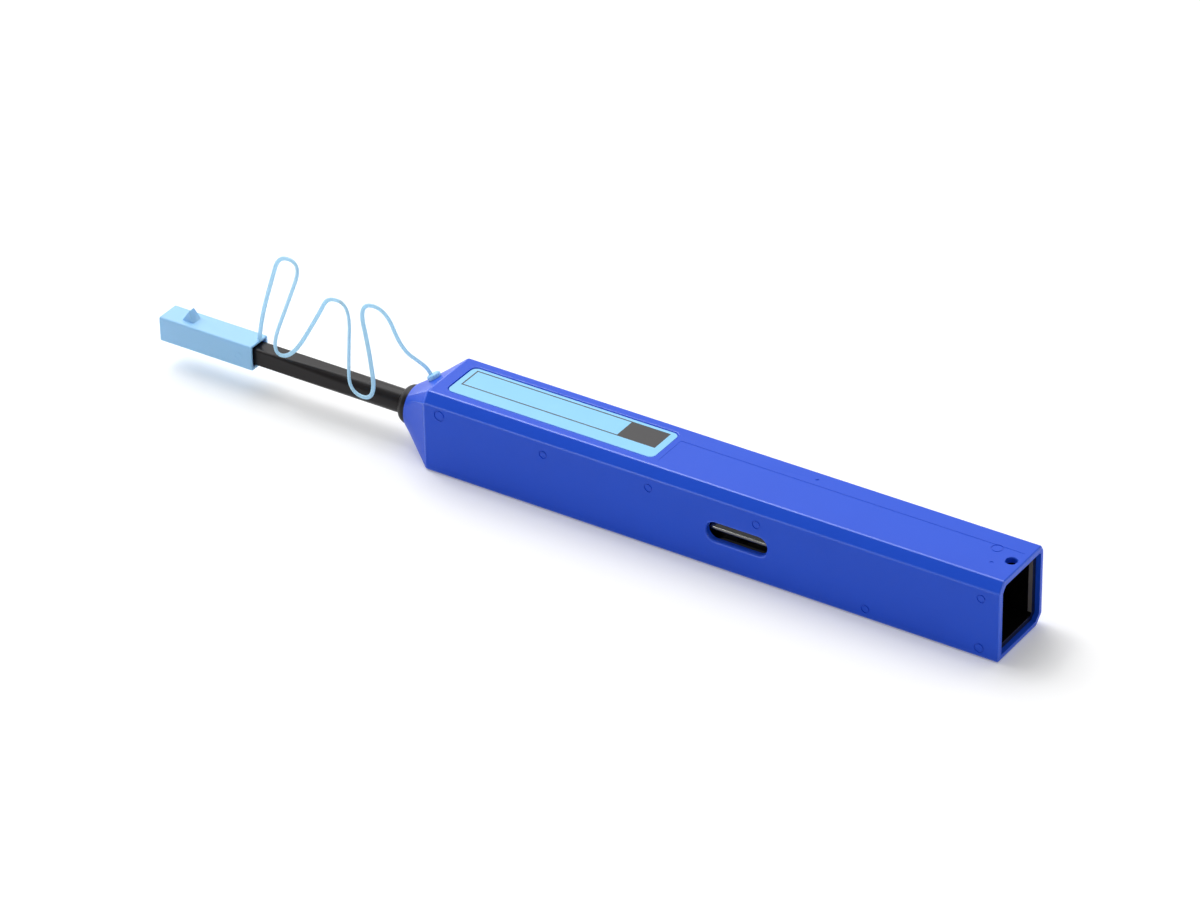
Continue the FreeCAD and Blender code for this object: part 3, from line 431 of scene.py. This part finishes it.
def settle(obj):
    """The piece's place goes into its mesh."""
    only(obj)
    bpy.ops.object.transform_apply(location=True, rotation=True, scale=True)


def new_primitive(make, name, **settings):
    """Named piece from one of Blender's mesh primitives, with its place in its mesh."""
    bpy.ops.object.select_all(action="DESELECT")
    make(**settings)
    piece = name_piece(bpy.context.object, name)
    settle(piece)
    return piece


def apply_modifier(obj, kind, **settings):
    only(obj)
    bpy.ops.object.modifier_add(type=kind)
    modifier = obj.modifiers[-1]
    for name, value in settings.items():
        setattr(modifier, name, value)
    bpy.ops.object.modifier_apply(modifier=modifier.name)


def carve(obj, tool, operation="DIFFERENCE"):
    """Cuts the tool out of the piece, or adds it, and clears the tool away."""
    apply_modifier(obj, "BOOLEAN", object=tool, operation=operation, solver="EXACT")
    bpy.data.objects.remove(tool)


def join(pieces):
    bpy.ops.object.select_all(action="DESELECT")
    for piece in pieces:
        piece.select_set(True)
    bpy.context.view_layer.objects.active = pieces[0]
    bpy.ops.object.join()
    return pieces[0]


def smooth(obj, degrees=SHARP_DEGREES):
    """Smooth shading that breaks at edges that turn more than degrees."""
    only(obj)
    bpy.ops.object.shade_smooth_by_angle(angle=math.radians(degrees))
    apply_modifier(obj, "WEIGHTED_NORMAL", keep_sharp=True)


def merged_copy(node, name):
    """Copy of a CAD node with its loose triangles merged into whole flat faces."""
    source = frame["nodes"][node]
    copy = bpy.data.objects.new(name, source.data.copy())
    bpy.context.scene.collection.objects.link(copy)
    name_piece(copy, name)
    edit(copy)
    merge_corners()
    bpy.ops.mesh.dissolve_limited(angle_limit=math.radians(FLAT_DEGREES))
    leave_edit()
    return copy


def round_edges(obj, width, wanted, material=-1):
    """Rounds the sharp convex edges that wanted(middle, direction, outward) picks, in millimetres.

    material is the slot that the rounded strips take, and -1 keeps that of the faces beside them.
    """
    mesh = edit(obj, "EDGE", "DESELECT")
    for edge in mesh.edges:
        if not edge.is_manifold or not edge.is_convex:
            continue
        if edge.calc_face_angle() < math.radians(LEAST_DEGREES):
            continue
        a, b = (v.co / MM for v in edge.verts)
        outward = edge.link_faces[0].normal + edge.link_faces[1].normal
        if wanted((a + b) / 2, (b - a).normalized(), outward):
            edge.select = True
    bmesh.update_edit_mesh(obj.data)
    bpy.ops.mesh.bevel(offset=width * MM, segments=ROUND_STEPS, profile=0.5, affect="EDGES",
                       clamp_overlap=False, loop_slide=False, material=material)
    leave_edit()


def faces_inward(middle, outward):
    """Whether an edge of the shell or the frame looks towards the pen's long axis."""
    return outward.y * middle.y + outward.z * (middle.z - TOP_Z / 2) < 0


def round_bar(name, radius, depth, place, turn=(0, 0, 0)):
    return new_primitive(bpy.ops.mesh.primitive_cylinder_add, name, vertices=ROUND_SIDES,
                         radius=radius * MM, depth=depth * MM, location=Vector(place) * MM,
                         rotation=turn)


def side_ring(x, y, z, radius, width, depth):
    """Tool for a ring mark on a near side at y: a tube that reaches depth into it."""
    ring = round_bar("mark", radius, MARK_BAR, (x, y - (MARK_BAR / 2 - depth), z), ALONG_Y)
    carve(ring, round_bar("core", radius - width, CORE_BAR, (x, y, z), ALONG_Y))
    return ring


def housing():
    """The long shell: rounded edges, moulding marks, a shallow step along its top, a gate pip."""
    shell = merged_copy("outer_shell", "housing")
    ring_rear = SHELL_LOW.x / MM + NOSE_RING_LENGTH

    def outer_edge(middle, direction, outward):
        on_ring = middle.x < ring_rear
        on_face = abs(direction.x) < LENGTHWISE and NOSE_REAR_X < middle.x < REAR_X - AT_END
        return not (on_ring or faces_inward(middle, outward) or on_face)

    # the rounded corner strips take a lighter blue: a painted highlight along the shell's edges
    shell.data.materials.append(abs_corner_painted_highlight)
    round_edges(shell, EDGE_ROUND, outer_edge, material=1)

    place = (*STEP_MIDDLE, TOP_Z + (STEP_SIZE[2] / 2 - STEP_DEPTH))
    carve(shell, new_primitive(bpy.ops.mesh.primitive_cube_add, "step", size=1,
                               location=Vector(place) * MM, scale=Vector(STEP_SIZE) * MM))

    marks = [side_ring(x, NEAR_Y, z, radius, SIDE_RING_WIDTH, PIN_DEPTH)
             for x, z, radius in SIDE_PINS]
    ring = round_bar("mark", TOP_PIN_RADIUS, MARK_BAR,
                     (*TOP_PIN, TOP_Z + (MARK_BAR / 2 - PIN_DEPTH)))
    carve(ring, round_bar("core", TOP_PIN_RADIUS - TOP_RING_WIDTH, CORE_BAR, (*TOP_PIN, TOP_Z)))
    marks.append(ring)
    marks.append(round_bar("mark", DOT_RADIUS, MARK_BAR,
                           (*DOT, TOP_Z + (MARK_BAR / 2 - DOT_DEPTH))))
    carve(shell, join(marks))

    pip = round_bar("pip", PIP_RADIUS, PIP_BAR, (*PIP, TOP_Z - (PIP_BAR / 2 - PIP_HEIGHT)))
    carve(shell, pip, "UNION")
    smooth(shell)
    return shell


def cap():
    """The square guide cap: rounded edges on the moulding, its mouths kept sharp, one pin mark."""
    piece = merged_copy("guide_cap", "cap_moulding")
    front = CAP_LOW.x / MM

    def outer_edge(middle, _direction, _outward):
        in_socket = (abs(middle.y) < SOCKET_HALF_WIDTH
                     and SOCKET_HEIGHTS[0] < middle.z < SOCKET_HEIGHTS[1])
        below_key = front + UNDER_KEY[0] < middle.x < front + UNDER_KEY[1]
        return below_key or not in_socket

    round_edges(piece, CAP_ROUND, outer_edge)
    body_middle_z = (CAP_LOW.z + CAP_HIGH.z) / 2 / MM - KEY_HEIGHT / 2
    carve(piece, side_ring(front + CAP_PIN_FROM_FRONT, CAP_LOW.y / MM, body_middle_z,
                           CAP_PIN_RADIUS, CAP_RING_WIDTH, CAP_PIN_DEPTH))
    smooth(piece)
    return piece


def nozzle():
    """The black nozzle with the long edges of its square shaft eased."""
    piece = merged_copy("nozzle_tube", "nozzle")

    def shaft_edge(middle, direction, _outward):
        return abs(direction.x) > LENGTHWISE and middle.x < SHAFT_REAR_X

    round_edges(piece, SHAFT_ROUND, shaft_edge)
    smooth(piece)
    return piece


def carriage_frame():
    """The black frame with the lead-in of its hollow rear end eased."""
    piece = merged_copy("inner_frame", "frame_moulding")
    rear = FRAME_HIGH.x / MM

    def mouth_edge(middle, direction, outward):
        return (middle.x > rear - AT_END and faces_inward(middle, outward)
                and abs(direction.z) > UPRIGHT)

    # the lead-in's rounded strips take a grey that paints a highlight on the black frame
    piece.data.materials.append(styrene_painted_grey_highlight)
    round_edges(piece, MOUTH_ROUND, mouth_edge, material=1)
    smooth(piece)
    return piece


def button():
    """Moulded head of the strap on the nose's top facet."""
    piece = merged_copy("strap_anchor", "strap_button")
    smooth(piece, SOFT_DEGREES)
    return piece


def strap_profile():
    """Closed outline of the strap's section, a little rounded at its corners."""
    curve = bpy.data.curves.new("strap_section", "CURVE")
    curve.dimensions = "2D"
    line = curve.splines.new("POLY")
    a = STRAP_THICK / 2
    b = STRAP_WIDTH / 2
    r = STRAP_ROUND
    corners = [(a - r, b), (-a + r, b), (-a, b - r), (-a, -b + r),
               (-a + r, -b), (a - r, -b), (a, -b + r), (a, b - r)]
    line.points.add(len(corners) - 1)
    for point, (x, y) in zip(line.points, corners):
        point.co = (x * MM, y * MM, 0, 1)
    line.use_cyclic_u = True
    section = bpy.data.objects.new("strap_section", curve)
    bpy.context.scene.collection.objects.link(section)
    return section


def strap():
    """The moulded strap on its smooth line, as one mesh with closed ends."""
    curve = bpy.data.curves.new("strap", "CURVE")
    curve.dimensions = "3D"
    curve.resolution_u = STRAP_FINENESS
    curve.twist_mode = "MINIMUM"
    curve.use_fill_caps = True
    line = curve.splines.new("NURBS")
    line.points.add(len(STRAP_ROUTE) - 1)
    for point, place in zip(line.points, STRAP_ROUTE):
        point.co = (*place, 1)
    line.order_u = 3
    line.use_endpoint_u = True
    line.resolution_u = STRAP_FINENESS
    section = strap_profile()
    curve.bevel_mode = "OBJECT"
    curve.bevel_object = section
    piece = bpy.data.objects.new("strap", curve)
    bpy.context.scene.collection.objects.link(piece)
    only(piece)
    bpy.ops.object.convert(target="MESH")
    bpy.data.objects.remove(section)
    piece = bpy.context.object
    edit(piece)
    merge_corners()
    bpy.ops.mesh.normals_make_consistent(inside=False)
    leave_edit()
    return piece


def strap_half(whole, name, keep_front):
    """One side of the strap, cut and closed where it meets the other over the nozzle."""
    only(whole)
    bpy.ops.object.duplicate()
    half = name_piece(bpy.context.object, name)
    edit(half)
    bpy.ops.mesh.bisect(plane_co=(STRAP_SPLIT_X * MM, 0, 0), plane_no=(1, 0, 0), use_fill=True,
                        clear_outer=keep_front, clear_inner=not keep_front)
    leave_edit()
    smooth(half, SOFT_DEGREES)
    return half


def coil_spring():
    """Round wire wound on the plunger's axis, in the space of the solid spring."""
    middle = (SPRING_LOW + SPRING_HIGH) / 2 / MM
    radius = (SPRING_HIGH.z - SPRING_LOW.z) / 2 / MM - SPRING_WIRE / 2
    length = (SPRING_HIGH.x - SPRING_LOW.x) / MM - SPRING_WIRE
    wire = new_primitive(bpy.ops.mesh.primitive_circle_add, "coil_spring", vertices=WIRE_SIDES,
                         radius=SPRING_WIRE / 2 * MM, fill_type="NOTHING",
                         location=(0, radius * MM, 0), rotation=(0, math.pi / 2, 0))
    apply_modifier(wire, "SCREW", axis="X", angle=2 * math.pi, steps=ROUND_SIDES,
                   render_steps=ROUND_SIDES, iterations=SPRING_TURNS,
                   screw_offset=length / SPRING_TURNS * MM, use_merge_vertices=False)
    mesh = edit(wire, "EDGE", "DESELECT")
    for edge in mesh.edges:
        edge.select = edge.is_boundary
    bmesh.update_edit_mesh(wire.data)
    bpy.ops.mesh.edge_face_add()
    bpy.ops.mesh.select_all(action="SELECT")
    bpy.ops.mesh.normals_make_consistent(inside=False)
    leave_edit()
    low = min(v.co.x for v in wire.data.vertices)
    wire.location = (SPRING_LOW.x - low, middle.y * MM, middle.z * MM)
    settle(wire)
    smooth(wire, SOFT_DEGREES)
    return wire


# ---------------------------------------------------------------- the making

set_camera()

# injection-moulded ABS off a spark-eroded tool: deep blue, satin, with a broad soft sheen
abs_blue = moulded("moulded_abs_blue", "#1953DB", "#174ED3", roughness=0.34, grain=0.35,
                   relief=0.006, **{"Specular IOR Level": 0.24})
# the same ABS on its rounded corners, glossier, and in a lighter blue that is a painted highlight
# along the edges
abs_corner_painted_highlight = moulded("abs_blue_corners_painted_highlight", "#2F62E6", "#295ADE", roughness=0.2, grain=0.35,
                   relief=0.003)
# low-density polyethylene: milky light blue that lets a little light in, with a waxy gloss
polythene = moulded("moulded_polyethylene_light_blue", "#9ED2FB", "#96CCF8", roughness=0.42,
                    grain=0.4, relief=0.006,
                    **{"Subsurface Weight": 0.25, "Subsurface Radius": (0.6, 0.9, 1.2),
                       "Subsurface Scale": 0.0008})
# the same polyethylene drawn thin: light from behind comes through it, and its base colour, paler
# than the cap's, is painted light that brightens the strap
thin_polythene_painted_paler = moulded("thin_polyethylene_painted_paler_blue", "#D4F2FF", "#CCEDFF", roughness=0.42,
                         grain=0.4, relief=0.006, through=0.5)
# glass-filled nylon: near-black, satin, with a slightly rough skin
nylon_black = moulded("moulded_nylon_black", "#1A1516", "#131011", roughness=0.34, grain=0.3,
                      relief=0.01, **{"Specular IOR Level": 0.22})
# polished-tool polystyrene: black and glossy enough to mirror the room
styrene_black = moulded("polished_polystyrene_black", "#0B090A", "#070607", roughness=0.14,
                        grain=0.5, relief=0.002)
# the same plastic in the cover, polished again: a hard black gloss that catches a bright streak
styrene_gloss = moulded("buffed_polystyrene_black", "#0B090A", "#070607", roughness=0.1,
                        grain=0.5, relief=0.002, **{"IOR": 1.75, "Specular IOR Level": 0.9})
# the same plastic on the frame's rounded lead-in, matt, in a grey that is a painted highlight on
# the black
styrene_painted_grey_highlight = moulded("polystyrene_black_painted_grey_highlight", "#7A7472", "#6A6463", roughness=0.6,
                       grain=0.3, relief=0.01)
# unfilled acetal: milky white and slick, as gears and reels are moulded
acetal = moulded("moulded_acetal_natural", "#EDEBE2", "#E4E2D8", roughness=0.35, grain=0.35,
                 relief=0.004)
# the label: printed polyester film
film = printed_film("printed_polyester_film")
# drawn stainless steel: pin, axles, pawl, tip sleeve and spring
steel = drawn_steel("drawn_stainless_steel")
# the cleaning tape: woven microfibre
tape = microfibre("woven_microfibre_tape")

BY_SLOT = {"shell_blue": abs_blue, "label_film": film, "frame_black": styrene_black,
           "nozzle_black": nylon_black, "cap_blue": polythene, "gear_white": acetal,
           "tape": tape, "steel": steel}
for subpart in frame["record"]["subparts"]:
    dress(frame["nodes"][subpart["node"]], BY_SLOT[subpart["material_slot"]])
# the strap takes the paler polyethylene, whose pale base colour is painted light
dress(frame["nodes"]["cap_strap"], thin_polythene_painted_paler)
dress(frame["nodes"]["frame_cover"], styrene_gloss)


def finish_piece(piece, body, slot, *nodes):
    """Dresses a piece in its slot's material where it has no finishes of its own, hides the CAD
    nodes it stands in for, and attaches it to its body if it has one.
    """
    if len(piece.data.materials) < 2:
        dress(piece, BY_SLOT[slot])
    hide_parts(*nodes)
    if body:
        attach(piece, body)
    return piece


finish_piece(housing(), "shell", "shell_blue", "outer_shell")
finish_piece(cap(), "cap", "cap_blue", "guide_cap")
finish_piece(nozzle(), "carriage", "nozzle_black", "nozzle_tube")
finish_piece(carriage_frame(), "carriage", "frame_black", "inner_frame")
finish_piece(button(), "shell", "cap_blue", "strap_anchor")
coil = finish_piece(coil_spring(), "shell", "steel", "return_spring")
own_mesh(coil)

# the strap bends across two joints, so it is in two halves that meet over the nozzle
whole_strap = strap()
front_strap = finish_piece(strap_half(whole_strap, "strap_cap_end", True), None, "cap_blue",
                           "cap_strap")
rear_strap = finish_piece(strap_half(whole_strap, "strap_shell_end", False), None, "cap_blue",
                          "cap_strap")
# both strap halves take the paler polyethylene, whose pale base colour is painted light
dress(front_strap, thin_polythene_painted_paler)
dress(rear_strap, thin_polythene_painted_paler)
bpy.data.objects.remove(whole_strap)
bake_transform(front_strap)
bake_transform(rear_strap)

floor = new_primitive(bpy.ops.mesh.primitive_plane_add, "floor", size=FLOOR_SIZE,
                      location=(0, 0, FLOOR_Z))
# the floor: matt white paper
dress(floor, studio_floor("white_paper"))

for lamp in LAMPS:
    soft_box(*lamp)
light_room()
bpy.context.scene.view_settings.view_transform = "Standard"
